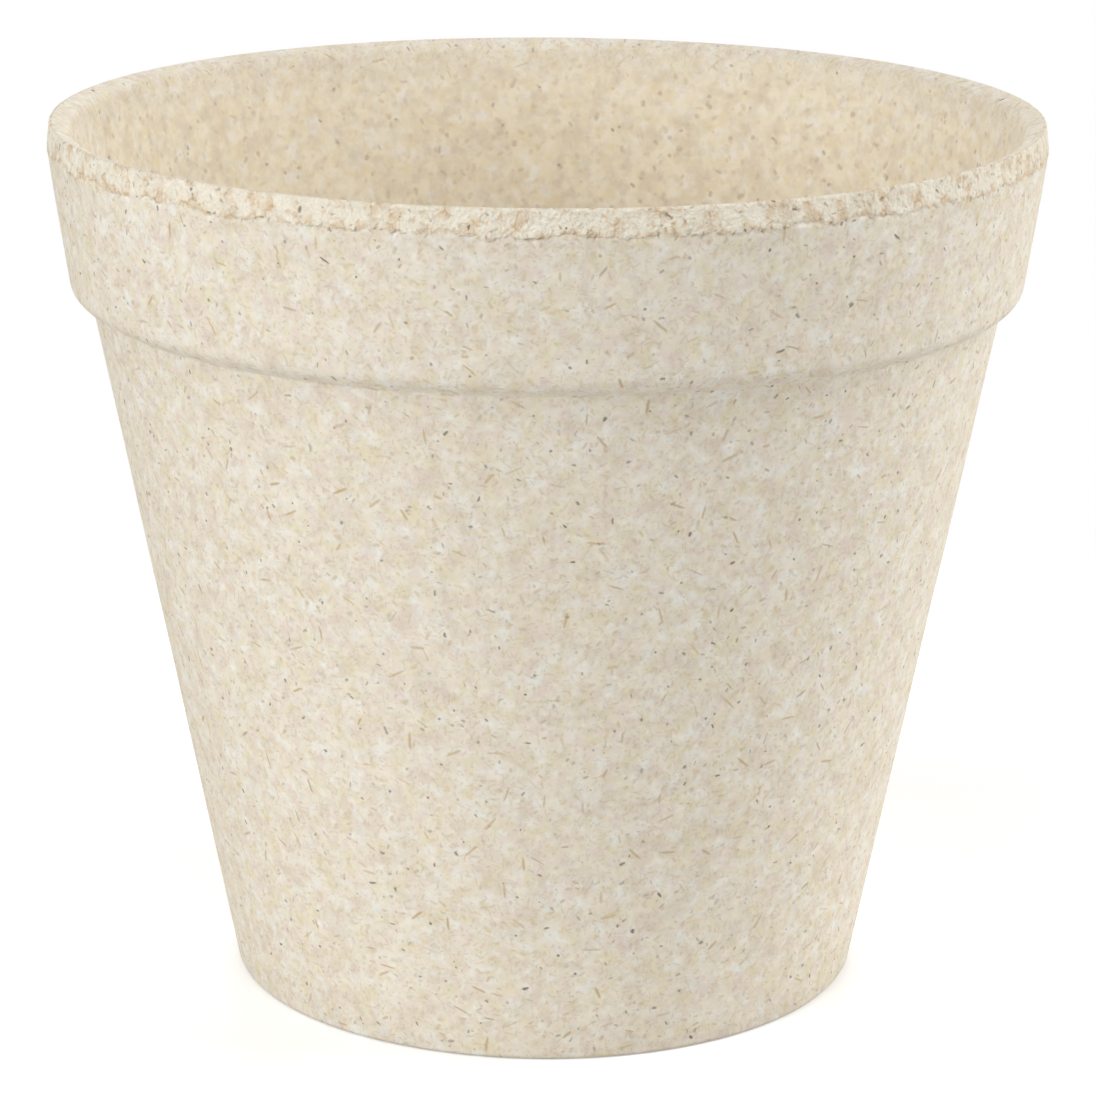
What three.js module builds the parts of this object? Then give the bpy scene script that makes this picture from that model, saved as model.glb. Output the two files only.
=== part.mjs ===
// Small flower pot, pressed from wood fibre in one piece.
// It has the classic form: a tapered body, and a collar that stands out round its mouth.
// Millimetres, +Z up, origin at the middle of the underside.

import * as THREE from 'three';

// Driving dimensions, in millimetres.
// The wall is measured level at the floor, and thins towards the lip. The step is the slanted face
// between the body and the foot of the collar.
const rimDiameter = 65;
const potHeight = 57.6;
const baseDiameter = 41.8;
const collarHeight = 11;
const stepWidth = 1.3;
const stepRise = 0.75;
const wallThickness = 1.8;
const floorThickness = 2.2;

// Lip: a narrow level crest, and a face that slants from it down to the mouth
const lipWidth = 1.3;
const crestWidth = 0.25;
const lipFall = 0.4;

// Band round the top of the collar, where the mould left a rough edge
const bandHeight = 1.7;
const bandSetback = 0.2;

// Draft of the collar's outer face, in degrees
const collarDraft = 8.4;

// Radii of the rounded edges
const baseRound = 0.4;
const stepHollow = 0.25;
const stepRound = 1.3;
const crestRound = 0.15;
const crownRound = 0.5;
const lipRound = 0.8;
const floorRound = 2;

// Fineness: flats round the pot, flats in each rounded edge, and the least step between points
const flatsRound = 96;
const flatsPerEdge = 4;
const leastStep = 0.001;

const fibreColour = '#e3dac7';
const fibreRoughness = 0.92;

// Radii and heights that follow from the sizes above
const rimRadius = rimDiameter / 2;
const baseRadius = baseDiameter / 2;
const collarFoot = potHeight - collarHeight;
const stepHeight = collarFoot - stepRise;
const bandFoot = potHeight - bandHeight;
const crestRadius = rimRadius - bandSetback;
const collarFall = Math.tan(THREE.MathUtils.degToRad(collarDraft));
const collarFootRadius = rimRadius - (bandFoot - collarFoot) * collarFall;
const bodyTopRadius = collarFootRadius - stepWidth;
const mouthRadius = crestRadius - lipWidth;
const floorRadius = bodyRadiusAt(floorThickness) - wallThickness;

// Outer radius of the body's straight wall at a height
function bodyRadiusAt(height) {
  return THREE.MathUtils.mapLinear(height, 0, stepHeight, baseRadius, bodyTopRadius);
}

// Half of the pot's section: its corners from the underside up the outside and down the inside
function sectionCorners() {
  return [
    { r: 0, z: 0, round: 0 },
    { r: baseRadius, z: 0, round: baseRound },
    { r: bodyTopRadius, z: stepHeight, round: stepHollow },
    { r: collarFootRadius, z: collarFoot, round: stepRound },
    { r: rimRadius, z: bandFoot, round: 0 },
    { r: crestRadius, z: potHeight, round: crestRound },
    { r: crestRadius - crestWidth, z: potHeight, round: crownRound },
    { r: mouthRadius, z: potHeight - lipFall, round: lipRound },
    { r: floorRadius, z: floorThickness, round: floorRound },
    { r: 0, z: floorThickness, round: 0 },
  ];
}

// The arc that rounds one corner, tangent to both of its sides.
// Where two arcs meet on a short side, each gives way in proportion.
function roundedCorners(corners) {
  const places = corners.map((corner) => new THREE.Vector2(corner.r, corner.z));
  const halfAngles = places.map((place, i) => halfAngleAt(places, i));
  const reaches = corners.map((corner, i) => corner.round / Math.tan(halfAngles[i]));
  const outline = [];
  places.forEach((place, i) => {
    if (corners[i].round === 0) {
      outline.push(place);
      return;
    }
    const share = Math.min(1, shareOfSide(i, i - 1), shareOfSide(i, i + 1));
    outline.push(...cornerArc(places, i, halfAngles[i], reaches[i] * share));
  });
  return outline.filter((point, i) => i === 0 || point.distanceTo(outline[i - 1]) > leastStep);

  function shareOfSide(i, j) {
    return places[i].distanceTo(places[j]) / (reaches[i] + reaches[j]);
  }
}

// Half of the angle between the two sides that meet at a corner
function halfAngleAt(places, i) {
  if (i === 0 || i === places.length - 1) return Math.PI / 2;
  const back = places[i - 1].clone().sub(places[i]);
  const ahead = places[i + 1].clone().sub(places[i]);
  return back.angleTo(ahead) / 2;
}

// Points of the arc whose ends lie the given reach along each side of the corner
function cornerArc(places, i, halfAngle, reach) {
  const back = places[i - 1].clone().sub(places[i]).normalize();
  const ahead = places[i + 1].clone().sub(places[i]).normalize();
  const radius = reach * Math.tan(halfAngle);
  const towardsCentre = back.clone().add(ahead).normalize();
  const centre = places[i].clone().addScaledVector(towardsCentre, reach / Math.cos(halfAngle));
  const start = places[i].clone().addScaledVector(back, reach).sub(centre);
  const turn = Math.sign(ahead.cross(back)) * (Math.PI - 2 * halfAngle);
  const points = [];
  for (let k = 0; k <= flatsPerEdge; k += 1) {
    const angle = start.angle() + (turn * k) / flatsPerEdge;
    points.push(new THREE.Vector2(Math.cos(angle), Math.sin(angle)).multiplyScalar(radius).add(centre));
  }
  return points;
}

function makePot() {
  const geometry = new THREE.LatheGeometry(roundedCorners(sectionCorners()), flatsRound);
  // The lathe turns about Y, and the pot stands along Z
  geometry.rotateX(Math.PI / 2);
  const material = new THREE.MeshStandardMaterial({
    color: fibreColour,
    roughness: fibreRoughness,
    metalness: 0,
  });
  const mesh = new THREE.Mesh(geometry, material);
  mesh.name = 'pot';
  return mesh;
}

const flowerPot = new THREE.Group();
flowerPot.add(makePot());

export default flowerPot;
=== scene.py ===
"""A flower pot pressed from wood fibre: its body, its torn rim, its finish and a plain studio.

Properties hold lengths in metres. The section, the relief and the finish are worked out in
millimetres.
"""

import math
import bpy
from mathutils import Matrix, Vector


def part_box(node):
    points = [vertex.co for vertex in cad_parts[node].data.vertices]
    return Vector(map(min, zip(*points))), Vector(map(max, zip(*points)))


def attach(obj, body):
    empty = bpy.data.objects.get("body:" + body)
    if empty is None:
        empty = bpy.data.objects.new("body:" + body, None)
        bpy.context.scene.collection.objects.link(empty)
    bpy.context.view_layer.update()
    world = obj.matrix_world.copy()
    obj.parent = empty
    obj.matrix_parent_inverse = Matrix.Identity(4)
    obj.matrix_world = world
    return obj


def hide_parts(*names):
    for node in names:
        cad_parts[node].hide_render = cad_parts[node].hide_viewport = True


bl_info = {
    "name": "Pressed Fibre Flower Pot",
    "version": (1, 0, 0),
    "blender": (4, 5, 0),
    "location": "3D View > Sidebar > Flower Pot",
    "description": "Builds a flower pot of pressed wood fibre and a plain studio round it",
    "category": "Object",
}

from collections import namedtuple

import bpy
import numpy as np
from bpy.props import FloatProperty, FloatVectorProperty, IntProperty, PointerProperty
from mathutils import Color, Matrix, Vector, noise

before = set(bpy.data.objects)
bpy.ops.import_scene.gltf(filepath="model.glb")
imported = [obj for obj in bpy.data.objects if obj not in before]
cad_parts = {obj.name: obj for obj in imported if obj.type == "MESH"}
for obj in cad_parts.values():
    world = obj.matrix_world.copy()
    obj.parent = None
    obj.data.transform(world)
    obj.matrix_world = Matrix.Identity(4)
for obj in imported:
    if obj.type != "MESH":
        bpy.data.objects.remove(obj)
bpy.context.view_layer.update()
POT_LOW, POT_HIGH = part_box("pot")

MM = 0.001

# Names of the mesh layers that the finish reads, and of the one that a bake uses
UNROLLED = "Unrolled"
BAKE_LAYOUT = "OFBake"
TORN = "torn"
EDGE = "torn_edge"
INSIDE = "inside"


def length(name, description, default_mm):
    """A length property, with its default in millimetres."""
    return FloatProperty(
        name=name, description=description, default=default_mm * MM, unit="LENGTH", precision=5
    )


def angle(name, description, default_degrees):
    """An angle property, with its default in degrees."""
    return FloatProperty(
        name=name, description=description, default=math.radians(default_degrees), unit="ROTATION"
    )


def share(name, description, default):
    """A property from 0 to 1."""
    return FloatProperty(
        name=name, description=description, default=default, min=0, max=1, subtype="FACTOR"
    )


def colour(name, description, default):
    """A colour property, written as it looks on a screen."""
    return FloatVectorProperty(
        name=name, description=description, default=default, size=3, min=0, max=1, subtype="COLOR_GAMMA"
    )


class PotSizes(bpy.types.PropertyGroup):
    rim_diameter: FloatProperty(
        name="Rim diameter",
        description="Widest diameter, at the foot of the torn band",
        default=POT_HIGH.x - POT_LOW.x,
        unit="LENGTH",
        precision=5,
    )
    height: FloatProperty(
        name="Height",
        description="Height of the pot",
        default=POT_HIGH.z - POT_LOW.z,
        unit="LENGTH",
        precision=5,
    )
    base_diameter: length("Base diameter", "Diameter of the body where it meets the underside", 41.8)
    collar_height: length("Collar height", "From the foot of the collar's face to the top of the rim", 11)
    step_width: length("Step width", "How far the collar's foot stands out from the body", 1.3)
    step_rise: length("Step rise", "How far the step rises from the body to the collar's foot", 0.75)
    wall_thickness: length("Wall", "Thickness of the body's wall, measured level at the floor", 1.8)
    lip_width: length("Lip width", "Width of the lip from the outside of its crest to the mouth", 1.3)
    crest_width: length("Crest width", "Width of the lip's level crest", 0.25)
    lip_fall: length("Lip fall", "How far the lip slants down from its crest to the mouth", 0.4)
    floor_thickness: length("Floor", "Thickness of the floor", 2.2)
    band_height: length("Band height", "Height of the torn band at the top of the collar", 1.7)
    band_setback: length("Band setback", "How far the crest stands in from the rim's widest ring", 0.2)
    collar_draft: angle("Collar draft", "Slant of the collar's outer face", 8.4)
    base_round: length("Base round", "Radius of the edge round the underside", 0.4)
    step_hollow: length("Step hollow", "Radius of the hollow where the body meets the collar", 0.25)
    step_round: length("Step round", "Radius of the collar's lower edge", 1.3)
    crest_round: length("Crest round", "Radius of the crest's outer edge", 0.15)
    crown_round: length("Crown round", "Radius of the edge where the lip starts to fall", 0.5)
    lip_round: length("Lip round", "Radius of the edge between the lip and the inside", 0.8)
    floor_round: length("Floor round", "Radius of the corner between the floor and the inside", 2.0)


class PotMesh(bpy.types.PropertyGroup):
    wall_segments: IntProperty(
        name="Wall segments", description="Faces round the pot on its plain walls", default=320, min=16
    )
    rim_doublings: IntProperty(
        name="Rim doublings",
        description="How often the faces round the wall double on the way to the torn band",
        default=3,
        min=0,
    )
    wall_step: length("Wall step", "Distance between rings on the plain walls", 2.4)
    rim_step: length("Rim step", "Distance between rings at the torn band", 0.11)
    arc_step: length("Round step", "Distance between rings on a rounded edge", 0.2)


class RimRelief(bpy.types.PropertyGroup):
    wall_sway: length("Wall sway", "Depth of the slow unevenness of the walls", 0.05)
    wall_ripple: length("Wall ripple", "Depth of the short unevenness of the walls", 0.02)
    edge_rise: length("Edge rise", "Mean height of the torn band's lower edge over its foot", 0.05)
    edge_wander: length("Edge wander", "How far the torn band's lower edge strays up and down", 0.45)
    edge_tooth: length("Edge teeth", "Height of the small teeth in the torn band's lower edge", 0.2)
    proud: length("Band stand", "How far the torn band stands out from the collar's face", 0.04)
    crumb_size: length("Crumb size", "Width of a crumb in the torn band", 0.34)
    crumb_height: length("Crumb height", "Height of the crumbs in the torn band", 0.10)
    pit_size: length("Pit size", "Width of the pits along the torn band's lower edge", 0.5)
    pit_depth: length("Pit depth", "Depth of the pits along the torn band's lower edge", 0.12)
    rough_side: angle("Rough side", "From the front, to the right, to the roughest side", -60)
    rough_spread: angle("Rough spread", "How far the roughest part of the band reaches each way", 20)


class FibreFinish(bpy.types.PropertyGroup):
    cream: colour("Cream", "Ground colour of the pressed pulp", (0.910, 0.874, 0.808))
    pale: colour("Pale", "Pulp of the palest wood", (0.918, 0.908, 0.872))
    rosy: colour("Rosy", "Pulp of reddish wood", (0.890, 0.836, 0.785))
    ochre: colour("Ochre", "Pulp of yellow wood", (0.892, 0.854, 0.752))
    flake: colour("Flake", "Pale soft flakes", (0.922, 0.912, 0.878))
    fibre: colour("Fibre", "Fine fibres in the surface", (0.800, 0.735, 0.632))
    tan: colour("Tan", "Soft tan blotches", (0.845, 0.770, 0.630))
    sliver: colour("Sliver", "Thicker slivers of heartwood", (0.750, 0.635, 0.455))
    smudge: colour("Smudge", "Soft brown stains", (0.770, 0.705, 0.610))
    bark: colour("Bark", "Grey brown slivers of bark", (0.590, 0.540, 0.470))
    speck: colour("Speck", "Dark specks", (0.340, 0.320, 0.300))
    chip: colour("Chip", "Rare large chips of bark", (0.380, 0.320, 0.270))
    shade: colour("Shade", "Tint of the denser patches of pulp", (0.850, 0.790, 0.700))
    torn: colour("Torn pulp", "Bright pulp of the torn band", (0.934, 0.908, 0.842))
    rust: colour("Rust", "Ochre stains in the torn band", (0.828, 0.698, 0.525))
    grit: colour("Grit", "Brown grit in the torn band", (0.560, 0.450, 0.340))
    # Painted shade: the colour of the shadow in the cracks of the torn band and under its lifted lower
    # edge
    crack: colour("Crack", "Shade in the cracks of the torn band", (0.600, 0.530, 0.410))
    seam: colour("Seam", "Seams between the crumbs of the torn band", (0.680, 0.560, 0.410))
    # The inside's pulps are paler than the outside's: partly their own smoother colour, partly painted
    # light inside the pot
    inside: colour("Inside", "Pulp of the inside wall", (0.955, 0.917, 0.832))
    blush: colour("Blush", "Pale blotches of the inside wall", (0.958, 0.940, 0.908))
    honey: colour("Honey", "Yellow blotches of the inside wall", (0.936, 0.884, 0.768))
    dust: colour("Dust", "Dull blotches of the inside wall", (0.906, 0.856, 0.776))
    spot: colour("Spot", "Soft dark spots of the inside wall", (0.745, 0.660, 0.550))
    roughness: share("Roughness", "Roughness of the dry surface", 0.93)
    gloss: share("Gloss", "Specular level of the dry surface", 0.2)


class PhotoView(bpy.types.PropertyGroup):
    distance: length("Distance", "From the camera to the point it looks at", 275.3)
    elevation: angle("Elevation", "Camera's angle above the floor", 15.83)
    aim_side: length("Aim to the side", "Point looked at, to the right of the pot's axis", 0.15)
    aim_height: length("Aim height", "Point looked at, above the floor", 28.16)
    roll: angle("Roll", "Camera's turn about its own axis", 0.30)
    lens: FloatProperty(name="Lens", description="Focal length", default=134.8, unit="CAMERA")


class StudioLight(bpy.types.PropertyGroup):
    room: share("Room", "Level light from all round", 0.05)
    left: share("Left panel", "Light that the low panel on the left adds", 0.55)
    front: share("Front panel", "Light that the panel at the front left adds", 0.16)
    top: share("Top panel", "Light that the high panel at the front left adds", 0.28)
    low: share("Low panel", "Light that the low panel at the front right adds", 0.18)
    side: share("Side panel", "Light that the low panel on the right adds", 0.23)
    right: share("Right panel", "Light that the high panel on the right adds", 0.40)
    rim: share("Rim panel", "Light that the low panel at the back right adds", 0.15)
    back: share("Back panel", "Light that the panel at the back adds", 0.50)
    panel_size: length("Panel size", "Side of each square panel", 450)
    panel_distance: length("Panel distance", "From each panel to the pot", 900)
    floor_radius: length("Floor radius", "Radius of the round floor", 3000)
    floor_gap: length("Floor gap", "Gap that keeps the floor off the underside", 0.02)
    floor_bounce: share("Floor bounce", "Share of its light that the floor throws back on the pot", 0.67)
    floor_lift: share("Floor lift", "How much brighter than its light the floor looks near the pot", 0.28)
    shadow_radius: length("Shadow radius", "Radius of the floor that shows the pot's shadow", 120)


# One corner of the pot's section: its place, the radius of its round, the distance between
# rings on the side after it, and the zone of the surface that it starts
Corner = namedtuple("Corner", "radius height round spacing zone")

# One ring of the pot: its place in the section, its outward direction there, how far along the
# section it lies, its zone and its number of segments
Ring = namedtuple("Ring", "radius height out_radius out_height along zone segments")

UNDERSIDE, BODY, COLLAR, LIP, FLOOR = range(5)

# Depth under the rim where the smoother finish of the inside is full, in millimetres
LIP_FADE = 2.5

# How far below the torn band its fine rings start, as a share of its height
FINE_START = 0.35


class PotForm:
    """Radii and heights in millimetres that follow from the pot's sizes."""

    def __init__(self, sizes):
        self.draft = math.tan(sizes.collar_draft)
        self.rim = sizes.rim_diameter / MM / 2
        self.top = sizes.height / MM
        self.base = sizes.base_diameter / MM / 2
        self.foot = self.top - sizes.collar_height / MM
        self.step = self.foot - sizes.step_rise / MM
        self.band_foot = self.top - sizes.band_height / MM
        self.crest = self.rim - sizes.band_setback / MM
        self.collar_foot = self.collar_at(self.foot)
        self.body_top = self.collar_foot - sizes.step_width / MM
        self.crown = self.crest - sizes.crest_width / MM
        self.mouth = self.crest - sizes.lip_width / MM
        self.mouth_height = self.top - sizes.lip_fall / MM
        self.floor = sizes.floor_thickness / MM
        slant = (self.body_top - self.base) / self.step
        self.floor_edge = self.base + slant * self.floor - sizes.wall_thickness / MM
        self.fine_from = self.band_foot - FINE_START * sizes.band_height / MM

    def collar_at(self, height):
        """Radius of the collar's outer face at a height."""
        return self.rim - (self.band_foot - height) * self.draft


def section_corners(sizes, mesh_sizes):
    """Corners from the middle of the underside, up the outside and down the inside."""
    form = PotForm(sizes)
    wall = mesh_sizes.wall_step / MM
    fine = mesh_sizes.rim_step / MM
    return [
        Corner(0, 0, 0, wall, UNDERSIDE),
        Corner(form.base, 0, sizes.base_round / MM, wall, BODY),
        Corner(form.body_top, form.step, sizes.step_hollow / MM, wall, COLLAR),
        Corner(form.collar_foot, form.foot, sizes.step_round / MM, wall, COLLAR),
        Corner(form.collar_at(form.fine_from), form.fine_from, 0, fine, COLLAR),
        Corner(form.rim, form.band_foot, 0, fine, COLLAR),
        Corner(form.crest, form.top, sizes.crest_round / MM, fine, COLLAR),
        Corner(form.crown, form.top, sizes.crown_round / MM, fine, LIP),
        Corner(form.mouth, form.mouth_height, sizes.lip_round / MM, wall, LIP),
        Corner(form.floor_edge, form.floor, sizes.floor_round / MM, wall, FLOOR),
        Corner(0, form.floor, 0, wall, FLOOR),
    ]


def unit(vector):
    return vector / np.linalg.norm(vector)


def section_points(corners, arc_step):
    """Points of the section and their zones, with the rounds and the divided sides."""
    places = [np.array((corner.radius, corner.height), float) for corner in corners]
    points, zones = [], []
    for i, corner in enumerate(corners):
        arc = [places[i]]
        if corner.round > 0:
            arc = corner_arc(places, i, corner.round, arc_step)
        if points:
            side = divided(points[-1], arc[0], corners[i - 1].spacing)
            points += side
            zones += [corners[i - 1].zone] * len(side)
        points += arc
        zones += [corner.zone] * len(arc)
    return np.array(points), zones


def corner_arc(places, i, radius, arc_step):
    """Points of the arc that rounds a corner, tangent to both of its sides."""
    back = unit(places[i - 1] - places[i])
    ahead = unit(places[i + 1] - places[i])
    half = math.acos(float(back @ ahead)) / 2
    centre = places[i] + unit(back + ahead) * radius / math.sin(half)
    start = places[i] + back * radius / math.tan(half) - centre
    turn = math.copysign(math.pi - 2 * half, ahead[0] * back[1] - ahead[1] * back[0])
    steps = max(2, math.ceil(radius * abs(turn) / arc_step))
    angles = math.atan2(start[1], start[0]) + turn * np.arange(steps + 1) / steps
    return [centre + radius * np.array((math.cos(a), math.sin(a))) for a in angles]


def divided(start, end, spacing):
    """Points between two ends, no further apart than the spacing, without the ends."""
    steps = max(1, math.ceil(np.linalg.norm(end - start) / spacing))
    return [start + (end - start) * k / steps for k in range(1, steps)]


def section_rings(sizes, mesh_sizes):
    """Rings of the pot along its section."""
    points, zones = section_points(section_corners(sizes, mesh_sizes), mesh_sizes.arc_step / MM)
    steps = np.diff(points, axis=0)
    reach = np.concatenate(((0,), np.cumsum(np.linalg.norm(steps, axis=1))))
    headings = np.vstack((steps[:1], steps[:-1] + steps[1:], steps[-1:]))
    headings /= np.linalg.norm(headings, axis=1)[:, None]
    form = PotForm(sizes)
    counts = [wanted_segments(point, zone, form, mesh_sizes) for point, zone in zip(points, zones)]
    # A ring has at most twice the segments of its neighbours
    for i in range(1, len(counts)):
        counts[i] = min(counts[i], 2 * counts[i - 1]) if counts[i - 1] > 1 else counts[i]
    for i in range(len(counts) - 2, -1, -1):
        counts[i] = min(counts[i], 2 * counts[i + 1]) if counts[i + 1] > 1 else counts[i]
    return [
        Ring(point[0], point[1], heading[1], -heading[0], along, zone, count)
        for point, heading, along, zone, count in zip(points, headings, reach, zones, counts)
    ]


# Fewest faces round a ring, and the radius in millimetres under which it is a single point
LEAST_SEGMENTS = 20
POINT_RADIUS = 1e-6


def wanted_segments(point, zone, form, mesh_sizes):
    """Segments of a ring: many at the torn band, and fewer towards the axis."""
    if point[0] < POINT_RADIUS:
        return 1
    count = mesh_sizes.wall_segments
    if zone == COLLAR and point[1] >= form.fine_from:
        return count * 2**mesh_sizes.rim_doublings
    if zone == LIP and point[1] > form.band_foot:
        return count * 2
    full = form.base / 2
    while point[0] < full and count >= 2 * LEAST_SEGMENTS and count % 2 == 0:
        full /= 2
        count //= 2
    return count


def strip_faces(count, next_count):
    """Faces between two rings, as corners that name the ring (0 or 1) and the step round it."""
    if count == 1:
        return [((0, 0), (1, j + 1), (1, j)) for j in range(next_count)]
    if next_count == 1:
        return [((0, j), (0, j + 1), (1, 0)) for j in range(count)]
    if count == next_count:
        return [((0, j), (0, j + 1), (1, j + 1), (1, j)) for j in range(count)]
    faces = []
    for j in range(min(count, next_count)):
        if count < next_count:
            faces.append(((0, j), (1, 2 * j + 1), (1, 2 * j)))
            faces.append(((0, j), (0, j + 1), (1, 2 * j + 1)))
            faces.append(((0, j + 1), (1, 2 * j + 2), (1, 2 * j + 1)))
        else:
            faces.append(((0, 2 * j), (0, 2 * j + 1), (1, j)))
            faces.append(((0, 2 * j + 1), (1, j + 1), (1, j)))
            faces.append(((0, 2 * j + 1), (0, 2 * j + 2), (1, j + 1)))
    return faces


def smooth(low, high, value):
    """0 at low, 1 at high, and a smooth run between."""
    t = min(1.0, max(0.0, (value - low) / (high - low)))
    return t * t * (3 - 2 * t)


# Widths of the relief's waves in millimetres: the walls' slow and short unevenness, the torn
# edge's wander and teeth, and the patches of rougher crumbs
SWAY_WAVE = 9
RIPPLE_WAVE = 3
WANDER_WAVE = 2.5
TOOTH_WAVE = 0.4
ROUGH_PATCH = 1.5

# Half width of the torn band's edge, and how far from it the pits reach, in millimetres
EDGE_BLEND = 0.05
PIT_REACH = 0.22

# Depths under the rim between which the crumbs fade out towards the crest, in millimetres
CRUMBS_FULL = 0.4
CRUMBS_GONE = 0.1

# Size and height of the fine crumbs, as shares of the coarse ones'
FINE_CRUMB_SIZE = 0.5
FINE_CRUMB_HEIGHT = 0.6

# Run in millimetres over which the walls' unevenness fades out at the underside and the crest
EVEN_RUN = 1

# Run in millimetres over which the collar draws back below the fine rings, so that the torn band
# stands out, and how far below the band's foot its relief is full
STAND_RUN = 1.5
BAND_MARGIN = 0.4

# Least roughness of the torn band, as a share of its roughest
LEAST_ROUGHNESS = 0.3


class Relief:
    """Depths under the pressed form: its unevenness, and the crumbs and pits of the torn band."""

    def __init__(self, sizes, relief):
        self.form = PotForm(sizes)
        for name in relief.__annotations__:
            value = getattr(relief, name)
            is_length = relief.bl_rna.properties[name].unit == "LENGTH"
            setattr(self, name, value / MM if is_length else value)

    def wall(self, place):
        """Depth of a plain wall under the form, or height over it, none at the underside."""
        sway = noise.noise(place / SWAY_WAVE) * self.wall_sway / 2
        ripple = noise.noise(place / RIPPLE_WAVE) * self.wall_ripple / 2
        return (sway + ripple) * smooth(0, EVEN_RUN, place.z)

    def torn_edge(self, place):
        """Height of the torn band's lower edge on this side of the pot."""
        side = Vector((place.x, place.y, 0))
        wander = noise.noise(side / WANDER_WAVE) * self.edge_wander
        tooth = noise.noise(side / TOOTH_WAVE) * self.edge_tooth
        return self.form.band_foot + self.edge_rise + wander + tooth

    def roughness(self, place):
        """How crumbly the torn band is at a place, up to 1."""
        turn = math.atan2(place.x, -place.y) - self.rough_side
        roughest = math.exp(-((turn / self.rough_spread) ** 2))
        patchy = smooth(-0.2, 0.5, noise.noise(place / ROUGH_PATCH))
        return LEAST_ROUGHNESS + (1 - LEAST_ROUGHNESS) * max(patchy, roughest)

    def band(self, place):
        """Depth near the torn band, how much of the place is torn, and how near its edge is."""
        edge = self.torn_edge(place)
        torn = smooth(-EDGE_BLEND, EDGE_BLEND, place.z - edge)
        near = math.exp(-(((place.z - edge) / PIT_REACH) ** 2))
        crumbs = 1 - noise.noise(place / self.crumb_size)
        fine_place = place / (FINE_CRUMB_SIZE * self.crumb_size)
        crumbs += FINE_CRUMB_HEIGHT * noise.noise(fine_place)
        calm = smooth(self.form.top - CRUMBS_FULL, self.form.top - CRUMBS_GONE, place.z)
        depth = torn * crumbs * self.roughness(place) * (1 - calm) * self.crumb_height / 2
        depth += (1 - torn) * self.proud
        pit = near * smooth(0.1, 0.45, noise.noise(place / self.pit_size))
        return depth + pit * self.pit_depth, torn, near

    def at(self, ring, place):
        """Depth under the form at a place on a ring, how torn it is, and how near the torn edge is.

        The torn band stays within the form.
        """
        if ring.zone in (UNDERSIDE, FLOOR):
            return 0.0, 0.0, 0.0
        wall = self.wall(place)
        if ring.zone == LIP:
            return wall * smooth(0, EVEN_RUN, self.form.top - ring.height), 0.0, 0.0
        fine_from = self.form.fine_from
        wall += self.proud * smooth(fine_from - STAND_RUN, fine_from, ring.height)
        if ring.height < fine_from:
            return wall, 0.0, 0.0
        depth, torn, near = self.band(place)
        share_of_band = smooth(fine_from, self.form.band_foot - BAND_MARGIN, ring.height)
        return max(0.0, wall + (depth - wall) * share_of_band), torn, near


def pot_vertices(rings, relief):
    """Places of all vertices in metres, and the values that the finish reads at each."""
    places, values = [], []
    for ring in rings:
        # The finish of the outside runs on over the lip
        inside = smooth(0, LIP_FADE, relief.form.top - ring.height) if ring.zone >= LIP else 0.0
        for step in range(ring.segments):
            # The turn starts at the back
            turn = 2 * math.pi * step / ring.segments
            side = Vector((-math.sin(turn), math.cos(turn), 0))
            place = side * ring.radius + Vector((0, 0, ring.height))
            out = side * ring.out_radius + Vector((0, 0, ring.out_height))
            depth, torn, near = relief.at(ring, place)
            places.append((place - out * depth) * MM)
            values.append((torn, near, inside))
    return places, np.array(values, np.float32)


# The corners of all faces, one after the other: the strip of the face, the corner's ring, its
# turn from 0 to 1 round the pot, and the half of the turn that the face lies in
FaceCorners = namedtuple("FaceCorners", "strip ring turn half")


def pot_faces(rings):
    """Faces of the pot, and where each corner of each face lies round it."""
    faces, corners = [], []
    start = 0
    for i, (ring, following) in enumerate(zip(rings, rings[1:])):
        counts = (ring.segments, following.segments)
        for face in strip_faces(*counts):
            faces.append([start + which * counts[0] + step % counts[which] for which, step in face])
            turns = [step / counts[which] for which, step in face if counts[which] > 1]
            half = int(min(turns) >= 0.5)
            corners += [(i, i + which, step / counts[which], half) for which, step in face]
        start += counts[0]
    strip, ring, turn, half = np.array(corners).T
    return faces, FaceCorners(strip.astype(int), ring.astype(int), turn, half.astype(int))


class SectionTable:
    """The rings' radii, places along the section and zones as arrays."""

    def __init__(self, rings):
        self.radii = np.array([ring.radius for ring in rings])
        self.along = np.array([ring.along for ring in rings])
        self.zones = np.array([ring.zone for ring in rings])

    def ends(self, first_zone, last_zone):
        """First and last ring of the strips from one zone to another."""
        rings = np.flatnonzero((self.zones >= first_zone) & (self.zones <= last_zone))
        return rings[0], min(rings[-1] + 1, len(self.zones) - 1)


# How far apart the unrolled zones lie, across and up, in millimetres
ZONE_GAP_ACROSS = 400
ZONE_GAP_UP = 130


def unrolled_layout(rings, corners):
    """Each zone of the surface unrolled as a cone, in millimetres and apart from the next."""
    table = SectionTable(rings)
    spots = np.zeros((len(corners.turn), 2))
    for zone in range(FLOOR + 1):
        first, last = table.ends(zone, zone)
        slope = (table.radii[last] - table.radii[first]) / (table.along[last] - table.along[first])
        here = table.zones[corners.strip] == zone
        start = table.radii[first] / slope
        reach = start + table.along[corners.ring[here]] - table.along[first]
        # The seam is at the back of the outside and at the front of the inside, out of view
        middle = 0.5 if zone < LIP else corners.half[here]
        angles = 2 * math.pi * (corners.turn[here] - middle) * slope
        spots[here, 0] = reach * np.sin(angles) + ZONE_GAP_ACROSS * zone
        spots[here, 1] = reach * np.cos(angles) - start + ZONE_GAP_UP * zone
    return spots


# Places in the bake layout, as left, bottom, width and height: the two halves of the outside,
# the inside wall, the underside and the floor
BAKE_OUTSIDE = ((0.004, 0.612, 0.742, 0.384), (0.004, 0.220, 0.742, 0.384))
BAKE_INSIDE = (0.004, 0.004, 0.992, 0.208)
BAKE_UNDERSIDE = (0.754, 0.754, 0.242, 0.242)
BAKE_FLOOR = (0.754, 0.504, 0.242, 0.242)


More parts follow.
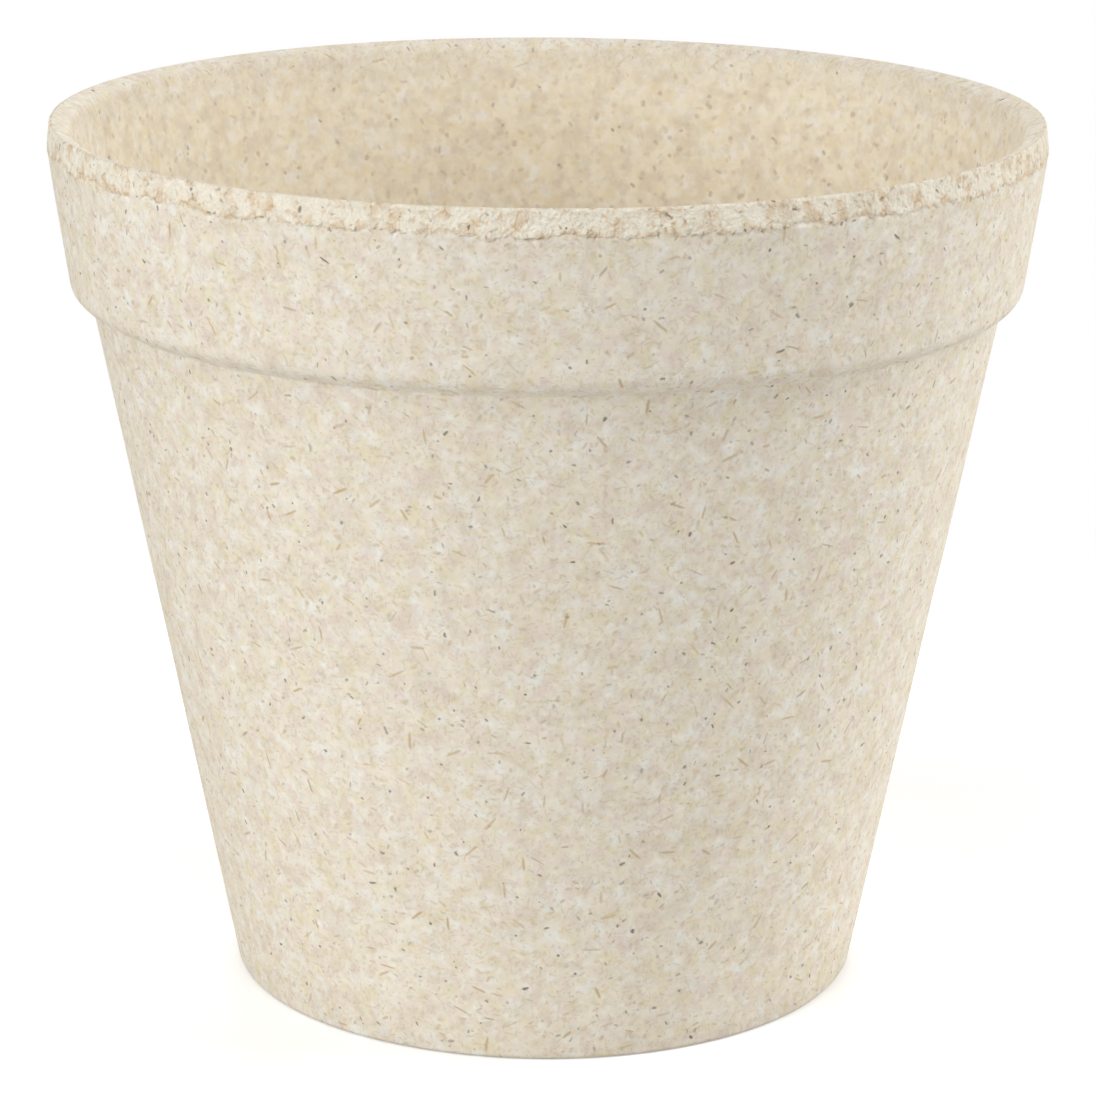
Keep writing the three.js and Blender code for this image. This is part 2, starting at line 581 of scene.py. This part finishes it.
def bake_layout(rings, corners):
    """The outside in two halves, the inside wall in one strip, and two discs, in one square."""
    table = SectionTable(rings)
    strip_zones = table.zones[corners.strip]
    spots = np.zeros((len(corners.turn), 2))

    def place(here, box, across, up):
        left, bottom, width, height = box
        spots[here, 0] = left + width * across
        spots[here, 1] = bottom + height * up

    def rise(here, ends):
        start, end = table.along[list(ends)]
        return (table.along[corners.ring[here]] - start) / (end - start)

    for zone, box in ((UNDERSIDE, BAKE_UNDERSIDE), (FLOOR, BAKE_FLOOR)):
        here = strip_zones == zone
        reach = table.radii[corners.ring[here]]
        reach = reach / reach.max() / 2
        angles = 2 * math.pi * corners.turn[here]
        place(here, box, 0.5 + reach * np.sin(angles), 0.5 + reach * np.cos(angles))
    outside = (strip_zones == BODY) | (strip_zones == COLLAR)
    for half, box in enumerate(BAKE_OUTSIDE):
        here = outside & (corners.half == half)
        place(here, box, 2 * corners.turn[here] - half, rise(here, table.ends(BODY, COLLAR)))
    here = strip_zones == LIP
    place(here, BAKE_INSIDE, corners.turn[here], 1 - rise(here, table.ends(LIP, LIP)))
    return spots


def build_pot_mesh(settings):
    """The whole pot as one closed mesh, with the layers that its finish reads."""
    rings = section_rings(settings.sizes, settings.mesh)
    places, values = pot_vertices(rings, Relief(settings.sizes, settings.relief))
    faces, corners = pot_faces(rings)
    mesh = bpy.data.meshes.new("pot_body")
    mesh.from_pydata(places, [], faces)
    for name, column in zip((TORN, EDGE, INSIDE), values.T):
        layer = mesh.attributes.new(name, "FLOAT", "POINT")
        layer.data.foreach_set("value", np.ascontiguousarray(column))
    for name, layout in ((UNROLLED, unrolled_layout), (BAKE_LAYOUT, bake_layout)):
        spots = layout(rings, corners).astype(np.float32)
        mesh.uv_layers.new(name=name).data.foreach_set("uv", spots.ravel())
    mesh.shade_smooth()
    return mesh


class NodeSheet:
    """Adds nodes to a tree and wires them, so that a finish reads as its sums and mixes."""

    def __init__(self, tree):
        self.tree = tree

    def add(self, kind, *inputs, **settings):
        node = self.tree.nodes.new(kind)
        for name, value in settings.items():
            setattr(node, name, value)
        for socket, value in zip(node.inputs, inputs):
            self.feed(socket, value)
        return node

    def feed(self, socket, value):
        if isinstance(value, bpy.types.NodeSocket):
            self.tree.links.new(value, socket)
        else:
            socket.default_value = value

    def math(self, operation, *values, clamp=False):
        return self.add("ShaderNodeMath", *values, operation=operation, use_clamp=clamp).outputs[0]

    def stretch(self, value, low, span):
        """A value from 0 to 1, made to start at low and cover the span."""
        return self.math("MULTIPLY_ADD", value, span, low)

    def vector(self, operation, *values):
        return self.add("ShaderNodeVectorMath", *values, operation=operation).outputs["Vector"]

    def scale(self, vector, factor):
        node = self.add("ShaderNodeVectorMath", vector, operation="SCALE")
        self.feed(node.inputs["Scale"], factor)
        return node.outputs["Vector"]

    def mix(self, factor, first, second, blend="MIX"):
        # A mix node lists its sockets for numbers and vectors before those for colours
        node = self.add("ShaderNodeMix", factor, data_type="RGBA", blend_type=blend)
        self.feed(node.inputs[6], first)
        self.feed(node.inputs[7], second)
        return node.outputs[2]

    def noise(self, place, size, detail=1.0, roughness=0.5):
        """Noise whose patches are about the given size."""
        node = self.add("ShaderNodeTexNoise")
        self.feed(node.inputs["Vector"], place)
        node.inputs["Scale"].default_value = 1 / size
        node.inputs["Detail"].default_value = detail
        node.inputs["Roughness"].default_value = roughness
        return node

    def ramp(self, value, low, high):
        """0 where the value is low, 1 where it is high, smooth between."""
        node = self.add(
            "ShaderNodeMapRange", value, low, high, 0.0, 1.0, interpolation_type="SMOOTHSTEP"
        )
        return node.outputs[0]

    def attribute(self, name):
        return self.add("ShaderNodeAttribute", attribute_name=name).outputs["Fac"]


def make_sliver_group():
    """Slivers strewn over a plane, one to a cell, each turned, sized and shaded by chance."""
    tree = bpy.data.node_groups.new("Strewn slivers", "ShaderNodeTree")
    tree.interface.new_socket(name="Place", in_out="INPUT", socket_type="NodeSocketVector")
    for name in ("Spacing", "Share", "Half length", "Half width", "Bend", "Crispness", "Seed"):
        tree.interface.new_socket(name=name, in_out="INPUT", socket_type="NodeSocketFloat")
    for name in ("Mask", "Chance"):
        tree.interface.new_socket(name=name, in_out="OUTPUT", socket_type="NodeSocketFloat")
    sheet = NodeSheet(tree)
    given = sheet.add("NodeGroupInput").outputs
    # Each kind of sliver has its own part of the endless pattern of cells
    seed_up = sheet.math("MULTIPLY", given["Seed"], 1.7)
    shift = sheet.add("ShaderNodeCombineXYZ", given["Seed"], seed_up).outputs[0]
    cells_per_mm = sheet.math("DIVIDE", 1.0, given["Spacing"])
    cell_place = sheet.vector("ADD", sheet.scale(given["Place"], cells_per_mm), shift)
    cells = sheet.add("ShaderNodeTexVoronoi", voronoi_dimensions="2D")
    sheet.feed(cells.inputs["Vector"], cell_place)
    cells.inputs["Scale"].default_value = 1.0
    from_middle = sheet.vector("SUBTRACT", cell_place, cells.outputs["Position"])
    local = sheet.scale(from_middle, given["Spacing"])
    chances = sheet.add("ShaderNodeSeparateColor", cells.outputs["Color"]).outputs
    turned = sheet.add("ShaderNodeVectorRotate", rotation_type="Z_AXIS")
    sheet.feed(turned.inputs["Vector"], local)
    sheet.feed(turned.inputs["Angle"], sheet.math("MULTIPLY", chances[0], 2 * math.pi))
    along, across, _ = sheet.add("ShaderNodeSeparateXYZ", turned.outputs[0]).outputs
    half_length = sheet.math("MULTIPLY", given["Half length"], sheet.stretch(chances[1], 0.5, 1.0))
    half_width = sheet.math("MULTIPLY", given["Half width"], sheet.stretch(chances[0], 0.7, 0.6))
    lengthways = sheet.math("DIVIDE", along, half_length)
    squared = sheet.math("MULTIPLY", lengthways, lengthways)
    bend = sheet.math("MULTIPLY", given["Bend"], sheet.stretch(chances[1], -1.0, 2.0))
    bent = sheet.math("MULTIPLY_ADD", squared, bend, across)
    sideways = sheet.math("DIVIDE", sheet.math("ABSOLUTE", bent), half_width)
    blunt = sheet.math("MULTIPLY", squared, squared)
    rest = sheet.math("SUBTRACT", sheet.math("SUBTRACT", 1.0, blunt), sideways)
    shape = sheet.math("MULTIPLY", rest, given["Crispness"], clamp=True)
    present = sheet.math("LESS_THAN", chances[2], given["Share"])
    out = sheet.add("NodeGroupOutput")
    sheet.feed(out.inputs["Mask"], sheet.math("MULTIPLY", shape, present))
    sheet.feed(out.inputs["Chance"], sheet.math("DIVIDE", chances[2], given["Share"]))
    return tree


# One kind of sliver: the name of its colour, then in millimetres the spacing of its cells, the
# share of the cells that hold one, its half length, half width and bend, how crisp it is and how
# strongly it shows
Sliver = namedtuple("Sliver", "colour spacing share half_length half_width bend crispness strength")

FIBRES = (
    Sliver("fibre", 0.38, 0.90, 0.16, 0.090, 0.02, 1.0, 0.60),
    Sliver("fibre", 0.52, 0.85, 0.25, 0.080, 0.05, 1.0, 0.60),
    Sliver("fibre", 0.85, 0.70, 0.44, 0.070, 0.08, 1.0, 0.60),
)

SLIVERS = (
    Sliver("flake", 1.60, 0.60, 0.60, 0.42, 0.05, 1.0, 0.70),
    Sliver("flake", 0.90, 0.45, 0.32, 0.22, 0.05, 1.1, 0.60),
    Sliver("tan", 1.10, 0.50, 0.30, 0.200, 0.04, 0.9, 0.80),
    Sliver("smudge", 0.95, 0.45, 0.22, 0.150, 0.02, 0.9, 0.75),
    Sliver("sliver", 2.40, 0.50, 0.48, 0.120, 0.02, 1.2, 0.85),
    Sliver("bark", 1.30, 0.28, 0.17, 0.095, 0.02, 1.0, 0.80),
)

# Crumbs of bark, with frayed outlines
CHIPS = (
    Sliver("speck", 1.35, 0.24, 0.15, 0.120, 0.0, 1.1, 0.90),
    Sliver("chip", 5.00, 0.25, 0.28, 0.140, 0.0, 1.2, 0.90),
)

# Soft spots on the inside, and a few dark specks in it
INSIDE_SPOTS = (
    Sliver("spot", 0.85, 0.50, 0.24, 0.240, 0.0, 0.7, 0.50),
    Sliver("spot", 1.60, 0.45, 0.26, 0.240, 0.0, 0.8, 0.90),
    Sliver("bark", 3.00, 0.45, 0.18, 0.180, 0.0, 0.9, 0.80),
    Sliver("speck", 3.20, 0.28, 0.24, 0.180, 0.0, 0.9, 0.75),
)

# Stains of the torn band, and the brown grit in it
TORN_STAINS = (
    Sliver("rust", 0.66, 0.85, 0.20, 0.130, 0.06, 0.9, 0.95),
    Sliver("grit", 0.60, 0.60, 0.18, 0.120, 0.0, 0.9, 0.90),
)

# Width of a crumb in the torn band and of the seam round it, in millimetres
CRUMB_SPACING = 0.75
SEAM_WIDTH = 0.09

# Arcs of painted shade in the cracks where a crumb lifts along the torn band's lower edge, and painted
# shadow under its overhang
EDGE_CRACK_SHADE = Sliver("crack", 0.80, 0.60, 0.34, 0.085, 0.16, 1.3, 0.90)


# Widths of the finish's patches in millimetres: pulp outside and inside, clouds where fibres
# crowd, stains of the torn band, grain in the colour, grain in the bump and sheen
PULP_PATCH = 1.25
INSIDE_PATCH = 1.1
CLOUD = 1.6
STAIN = 1.2
COLOUR_GRAIN = 0.5
BUMP_GRAIN = 0.22
SHEEN_PATCH = 0.6

# Width of the waves that fray outlines, and how far they move frayed and ragged ones, in
# millimetres
FRAY_WAVE = 0.4
FRAYED_BY = 0.2
RAGGED_BY = 0.07

# How far stains, the torn band's pulp, the inside's pulp and the tint of dense patches each
# cover what lies under them
STAIN_COVER = 0.66
TORN_COVER = 0.85
INSIDE_COVER = 0.88
DENSE_COVER = 0.35

# Painted light: lightness of the pulp at the foot, and how it changes with each millimetre up. The pot is
# painted lighter towards the foot and darker towards the rim, in place of light that falls more brightly
# low on the pot
FOOT_PAINTED_LIGHT = 1.035
PAINTED_LIGHT_PER_MM = -0.0012


class FibreMaterial:
    """Pressed wood fibre: mottled pulp, flakes, fibres, slivers and specks, and a torn band."""

    def __init__(self, finish):
        self.finish = finish
        self.material = bpy.data.materials.new("Pressed wood fibre")
        self.material.use_nodes = True
        self.material.node_tree.nodes.clear()
        self.sheet = NodeSheet(self.material.node_tree)
        self.slivers = make_sliver_group()
        self.seed = 0
        sheet = self.sheet
        # Patches run on all round the pot, and slivers are strewn over its unrolled surface
        self.point = sheet.scale(sheet.add("ShaderNodeTexCoord").outputs["Object"], 1 / MM)
        unrolled = sheet.add("ShaderNodeUVMap", uv_map=UNROLLED).outputs[0]
        waves = sheet.noise(self.point, FRAY_WAVE).outputs["Color"]
        stray = sheet.vector("SUBTRACT", waves, (0.5, 0.5, 0.5))
        self.frayed_point = sheet.vector("ADD", self.point, sheet.scale(stray, FRAYED_BY))
        self.frayed = sheet.vector("ADD", unrolled, sheet.scale(stray, FRAYED_BY))
        self.ragged = sheet.vector("ADD", unrolled, sheet.scale(stray, RAGGED_BY))
        self.torn = sheet.attribute(TORN)
        self.edge = sheet.attribute(EDGE)

    def paint(self, name):
        """A named colour of the finish, as light."""
        return (*Color(getattr(self.finish, name)).from_srgb_to_scene_linear(), 1.0)

    def strew(self, base, kind, mask=None, crowding=1.0, place=None):
        """Slivers of one kind over the colour so far, kept to a mask if one is given."""
        sheet = self.sheet
        place = place or self.ragged
        self.seed += 1
        node = sheet.add("ShaderNodeGroup", node_tree=self.slivers)
        share_here = sheet.math("MULTIPLY", kind.share, crowding)
        values = (place, kind.spacing, share_here, *kind[3:7], 13.7 * self.seed)
        for socket, value in zip(node.inputs, values):
            sheet.feed(socket, value)
        shown = sheet.stretch(node.outputs["Chance"], 0.4 * kind.strength, 0.6 * kind.strength)
        shown = sheet.math("MULTIPLY", shown, node.outputs["Mask"])
        if mask is not None:
            shown = sheet.math("MULTIPLY", shown, mask)
        return sheet.mix(shown, base, self.paint(kind.colour))

    def pulp(self, ground, others, size):
        """A ground colour with patches of other pulps that run into each other."""
        sheet = self.sheet
        patches = sheet.noise(self.frayed_point, size, detail=2.0, roughness=0.6).outputs["Color"]
        patches = sheet.add("ShaderNodeSeparateColor", patches).outputs
        pulp = self.paint(ground)
        for name, patch in zip(others, patches):
            pulp = sheet.mix(sheet.ramp(patch, 0.45, 0.70), pulp, self.paint(name))
        return pulp

    def torn_pulp(self, colour):
        """The brighter pulp of the torn band, in crumbs with stained seams, over a colour."""
        sheet = self.sheet
        stains = sheet.noise(self.frayed_point, STAIN, detail=2.0, roughness=0.6).outputs[0]
        stains = sheet.math("MULTIPLY_ADD", self.edge, 0.12, stains)
        stained = sheet.ramp(stains, 0.46, 0.70)
        cover = sheet.math("MULTIPLY", stained, STAIN_COVER)
        torn = sheet.mix(cover, self.paint("torn"), self.paint("rust"))
        crumbs = sheet.add("ShaderNodeTexVoronoi", voronoi_dimensions="2D", feature="DISTANCE_TO_EDGE")
        sheet.feed(crumbs.inputs["Vector"], self.frayed)
        crumbs.inputs["Scale"].default_value = 1 / CRUMB_SPACING
        seam = sheet.ramp(crumbs.outputs["Distance"], SEAM_WIDTH / CRUMB_SPACING, 0.0)
        seam = sheet.math("MULTIPLY", seam, sheet.stretch(stained, 0.12, 0.50))
        torn = sheet.mix(seam, torn, self.paint("seam"))
        return sheet.mix(sheet.math("MULTIPLY", self.torn, TORN_COVER), colour, torn)

    def shaded(self, colour, level):
        """A colour made darker or lighter by a level."""
        sheet = self.sheet
        grey = sheet.add("ShaderNodeCombineColor", level, level, level).outputs[0]
        return sheet.mix(1.0, colour, grey, blend="MULTIPLY")

    def colour(self):
        sheet = self.sheet
        clouds = sheet.noise(self.frayed_point, CLOUD, detail=2.0, roughness=0.7).outputs[0]
        crowding = sheet.ramp(clouds, 0.35, 0.65)
        colour = self.torn_pulp(self.pulp("cream", ("pale", "rosy", "ochre"), PULP_PATCH))
        pressed = sheet.stretch(self.torn, 1.0, -0.6)
        for kind in FIBRES:
            colour = self.strew(colour, kind, pressed, sheet.stretch(crowding, 0.35, 0.65))
        for kind in SLIVERS:
            colour = self.strew(colour, kind, pressed)
        for kind in CHIPS:
            colour = self.strew(colour, kind, place=self.frayed)
        for kind in TORN_STAINS:
            colour = self.strew(colour, kind, self.torn, crowding, self.frayed)
        # Painted shade in the cracks of the torn band, strongest along its lower edge
        crack_shade_mask = sheet.math("MULTIPLY_ADD", self.torn, 0.15, self.edge, clamp=True)
        colour = self.strew(colour, EDGE_CRACK_SHADE, crack_shade_mask)
        grain = sheet.noise(self.point, COLOUR_GRAIN, detail=2.0, roughness=0.75).outputs[0]
        colour = self.shaded(colour, sheet.stretch(grain, 0.88, 0.24))
        # The inside is smoother than the outside, with soft spots under its surface, and its pulp is
        # painted paler than the outside's: painted light inside the pot
        inside = sheet.attribute(INSIDE)
        smoother = self.pulp("inside", ("blush", "honey", "dust"), INSIDE_PATCH)
        colour = sheet.mix(sheet.math("MULTIPLY", inside, INSIDE_COVER), colour, smoother)
        for kind in INSIDE_SPOTS:
            colour = self.strew(colour, kind, inside, place=self.frayed)
        dense = sheet.math("MULTIPLY", sheet.ramp(clouds, 0.45, 0.75), DENSE_COVER)
        colour = sheet.mix(dense, colour, self.paint("shade"))
        # Painted light: lighter towards the foot and darker towards the rim, on top of the random tone of
        # the clouds
        height = sheet.add("ShaderNodeSeparateXYZ", self.point).outputs["Z"]
        painted_light = sheet.math("MULTIPLY_ADD", height, PAINTED_LIGHT_PER_MM, FOOT_PAINTED_LIGHT)
        return self.shaded(colour, sheet.math("MULTIPLY", painted_light, sheet.stretch(clouds, 1.06, -0.12)))

    def height(self):
        """Height of the grain in millimetres, coarser on the torn band."""
        sheet = self.sheet
        grain = sheet.noise(self.point, BUMP_GRAIN).outputs[0]
        return sheet.math("MULTIPLY", grain, sheet.stretch(self.torn, 0.02, 0.10))

    def build(self):
        sheet = self.sheet
        shader = sheet.add("ShaderNodeBsdfPrincipled")
        sheet.feed(shader.inputs["Base Color"], self.colour())
        patches = sheet.noise(self.point, SHEEN_PATCH).outputs[0]
        roughness = sheet.stretch(patches, self.finish.roughness - 0.05, 0.1)
        sheet.feed(shader.inputs["Roughness"], roughness)
        shader.inputs["Specular IOR Level"].default_value = self.finish.gloss
        bump = sheet.add("ShaderNodeBump")
        bump.inputs["Distance"].default_value = MM
        sheet.feed(bump.inputs["Height"], self.height())
        sheet.feed(shader.inputs["Normal"], bump.outputs["Normal"])
        output = sheet.add("ShaderNodeOutputMaterial")
        sheet.feed(output.inputs["Surface"], shader.outputs["BSDF"])
        return self.material


def add_object(name, data):
    item = bpy.data.objects.new(name, data)
    bpy.context.scene.collection.objects.link(item)
    return item


class FLOWERPOT_OT_pot(bpy.types.Operator):
    """Build the pot as one closed mesh with its torn rim, and dress it in pressed wood fibre"""

    bl_idname = "flowerpot.pot"
    bl_label = "Pot"

    def execute(self, context):
        settings = context.scene.flower_pot
        mesh = build_pot_mesh(settings)
        mesh.materials.append(FibreMaterial(settings.finish).build())
        pot = add_object("flower_pot", mesh)
        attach(pot, "root")
        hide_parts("pot")
        return {"FINISHED"}


WHITE = (1.0, 1.0, 1.0, 1.0)
PAPER = (0.90, 0.90, 0.90, 1.0)


def make_floor_material(studio):
    """White paper: to the camera white but for the pot's shadow, and a duller bounce on the pot."""
    material = bpy.data.materials.new("White floor")
    material.use_nodes = True
    material.node_tree.nodes.clear()
    sheet = NodeSheet(material.node_tree)
    seen = sheet.add("ShaderNodeLightPath").outputs["Is Camera Ray"]
    paper = sheet.add("ShaderNodeBsdfDiffuse", PAPER).outputs[0]
    bounce = sheet.add("ShaderNodeBsdfDiffuse", (*[studio.floor_bounce] * 3, 1.0)).outputs[0]
    white = sheet.add("ShaderNodeEmission", WHITE, 1.0).outputs[0]
    faint = sheet.add("ShaderNodeEmission", WHITE, studio.floor_lift).outputs[0]
    lit = sheet.add("ShaderNodeAddShader", paper, faint).outputs[0]
    spot = sheet.add("ShaderNodeTexCoord").outputs["Object"]
    away = sheet.add("ShaderNodeVectorMath", spot, operation="LENGTH").outputs["Value"]
    far = sheet.ramp(away, studio.shadow_radius * 0.5, studio.shadow_radius)
    shown = sheet.add("ShaderNodeMixShader", far, lit, white).outputs[0]
    mixed = sheet.add("ShaderNodeMixShader", seen, bounce, shown).outputs[0]
    output = sheet.add("ShaderNodeOutputMaterial")
    sheet.feed(output.inputs["Surface"], mixed)
    return material


def make_world(level):
    """Level light from all round, which the camera and glossy surfaces see as white."""
    world = bpy.data.worlds.new("White room")
    bpy.context.scene.world = world
    world.use_nodes = True
    world.node_tree.nodes.clear()
    sheet = NodeSheet(world.node_tree)
    path = sheet.add("ShaderNodeLightPath").outputs
    seen = sheet.math("MAXIMUM", path["Is Camera Ray"], path["Is Glossy Ray"])
    seen = sheet.math("MAXIMUM", seen, path["Is Transmission Ray"])
    brightness = sheet.stretch(seen, level, 1 - level)
    background = sheet.add("ShaderNodeBackground", WHITE, brightness)
    output = sheet.add("ShaderNodeOutputWorld")
    sheet.feed(output.inputs["Surface"], background.outputs[0])


# Light panels: the name of each one's level, its azimuth from the front (to the right) and its
# elevation, in degrees
PANELS = (
    ("left", -60, 12),
    ("front", -30, 40),
    ("top", -30, 65),
    ("low", 30, 12),
    ("side", 90, 12),
    ("right", 90, 40),
    ("rim", 120, 12),
    ("back", 180, 30),
)


def add_panel(name, level, azimuth, elevation, aim, studio):
    """A square panel that adds the given share of full light to a surface that faces it."""
    across, up = math.radians(azimuth), math.radians(elevation)
    away = Vector((math.sin(across) * math.cos(up), -math.cos(across) * math.cos(up), math.sin(up)))
    away *= studio.panel_distance
    light = bpy.data.lights.new(name, "AREA")
    light.shape = "SQUARE"
    light.size = studio.panel_size
    panel = add_object(name, light)
    panel.location = away
    away -= aim
    panel.rotation_euler = away.to_track_quat("Z", "Y").to_euler()
    light.energy = level * math.pi**2 * away.length_squared


def add_camera(view):
    """The camera of the photograph, fitted to the pot's outline."""
    data = bpy.data.cameras.new("Camera")
    data.lens = view.lens
    data.sensor_width = 36
    aim = Vector((view.aim_side, 0, view.aim_height))
    level = view.distance * math.cos(view.elevation)
    place = Vector((0, -level, view.aim_height + view.distance * math.sin(view.elevation)))
    ahead = (aim - place).normalized()
    right = ahead.cross(Vector((0, 0, 1))).normalized()
    up = right.cross(ahead)
    turned_right = right * math.cos(view.roll) + up * math.sin(view.roll)
    turned_up = up * math.cos(view.roll) - right * math.sin(view.roll)
    camera = add_object("Camera", data)
    columns = Matrix((turned_right, turned_up, -ahead)).transposed()
    camera.matrix_world = Matrix.Translation(place) @ columns.to_4x4()
    bpy.context.scene.camera = camera


class FLOWERPOT_OT_stage(bpy.types.Operator):
    """Build the white floor, the room's light, the light panels and the camera"""

    bl_idname = "flowerpot.stage"
    bl_label = "Stage"

    def execute(self, context):
        settings = context.scene.flower_pot
        studio = settings.studio
        bpy.ops.mesh.primitive_circle_add(
            vertices=64, radius=studio.floor_radius, fill_type="NGON", location=(0, 0, -studio.floor_gap)
        )
        floor = context.object
        floor.name = "floor"
        floor.data.materials.append(make_floor_material(studio))
        make_world(studio.room)
        aim = Vector((0, 0, settings.sizes.height / 2))
        for name, azimuth, elevation in PANELS:
            add_panel(name, getattr(studio, name), azimuth, elevation, aim, studio)
        add_camera(settings.view)
        context.scene.view_settings.view_transform = "Standard"
        return {"FINISHED"}


class FlowerPotSettings(bpy.types.PropertyGroup):
    sizes: PointerProperty(type=PotSizes)
    mesh: PointerProperty(type=PotMesh)
    relief: PointerProperty(type=RimRelief)
    finish: PointerProperty(type=FibreFinish)
    view: PointerProperty(type=PhotoView)
    studio: PointerProperty(type=StudioLight)


class FLOWERPOT_PT_panel(bpy.types.Panel):
    """The pot's sizes, finish and studio in the sidebar"""

    bl_label = "Flower Pot"
    bl_idname = "FLOWERPOT_PT_panel"
    bl_space_type = "VIEW_3D"
    bl_region_type = "UI"
    bl_category = "Flower Pot"

    def draw(self, context):
        settings = context.scene.flower_pot
        for name in FlowerPotSettings.__annotations__:
            group = getattr(settings, name)
            box = self.layout.box()
            box.label(text=name.capitalize())
            for key in group.__annotations__:
                box.prop(group, key)
        self.layout.operator(FLOWERPOT_OT_pot.bl_idname)
        self.layout.operator(FLOWERPOT_OT_stage.bl_idname)


CLASSES = (
    PotSizes,
    PotMesh,
    RimRelief,
    FibreFinish,
    PhotoView,
    StudioLight,
    FlowerPotSettings,
    FLOWERPOT_OT_pot,
    FLOWERPOT_OT_stage,
    FLOWERPOT_PT_panel,
)


def register():
    for item in CLASSES:
        bpy.utils.register_class(item)
    bpy.types.Scene.flower_pot = PointerProperty(type=FlowerPotSettings)


def unregister():
    del bpy.types.Scene.flower_pot
    for item in reversed(CLASSES):
        bpy.utils.unregister_class(item)


def main():
    register()
    bpy.ops.flowerpot.pot()
    bpy.ops.flowerpot.stage()


if __name__ == "__main__":
    main()
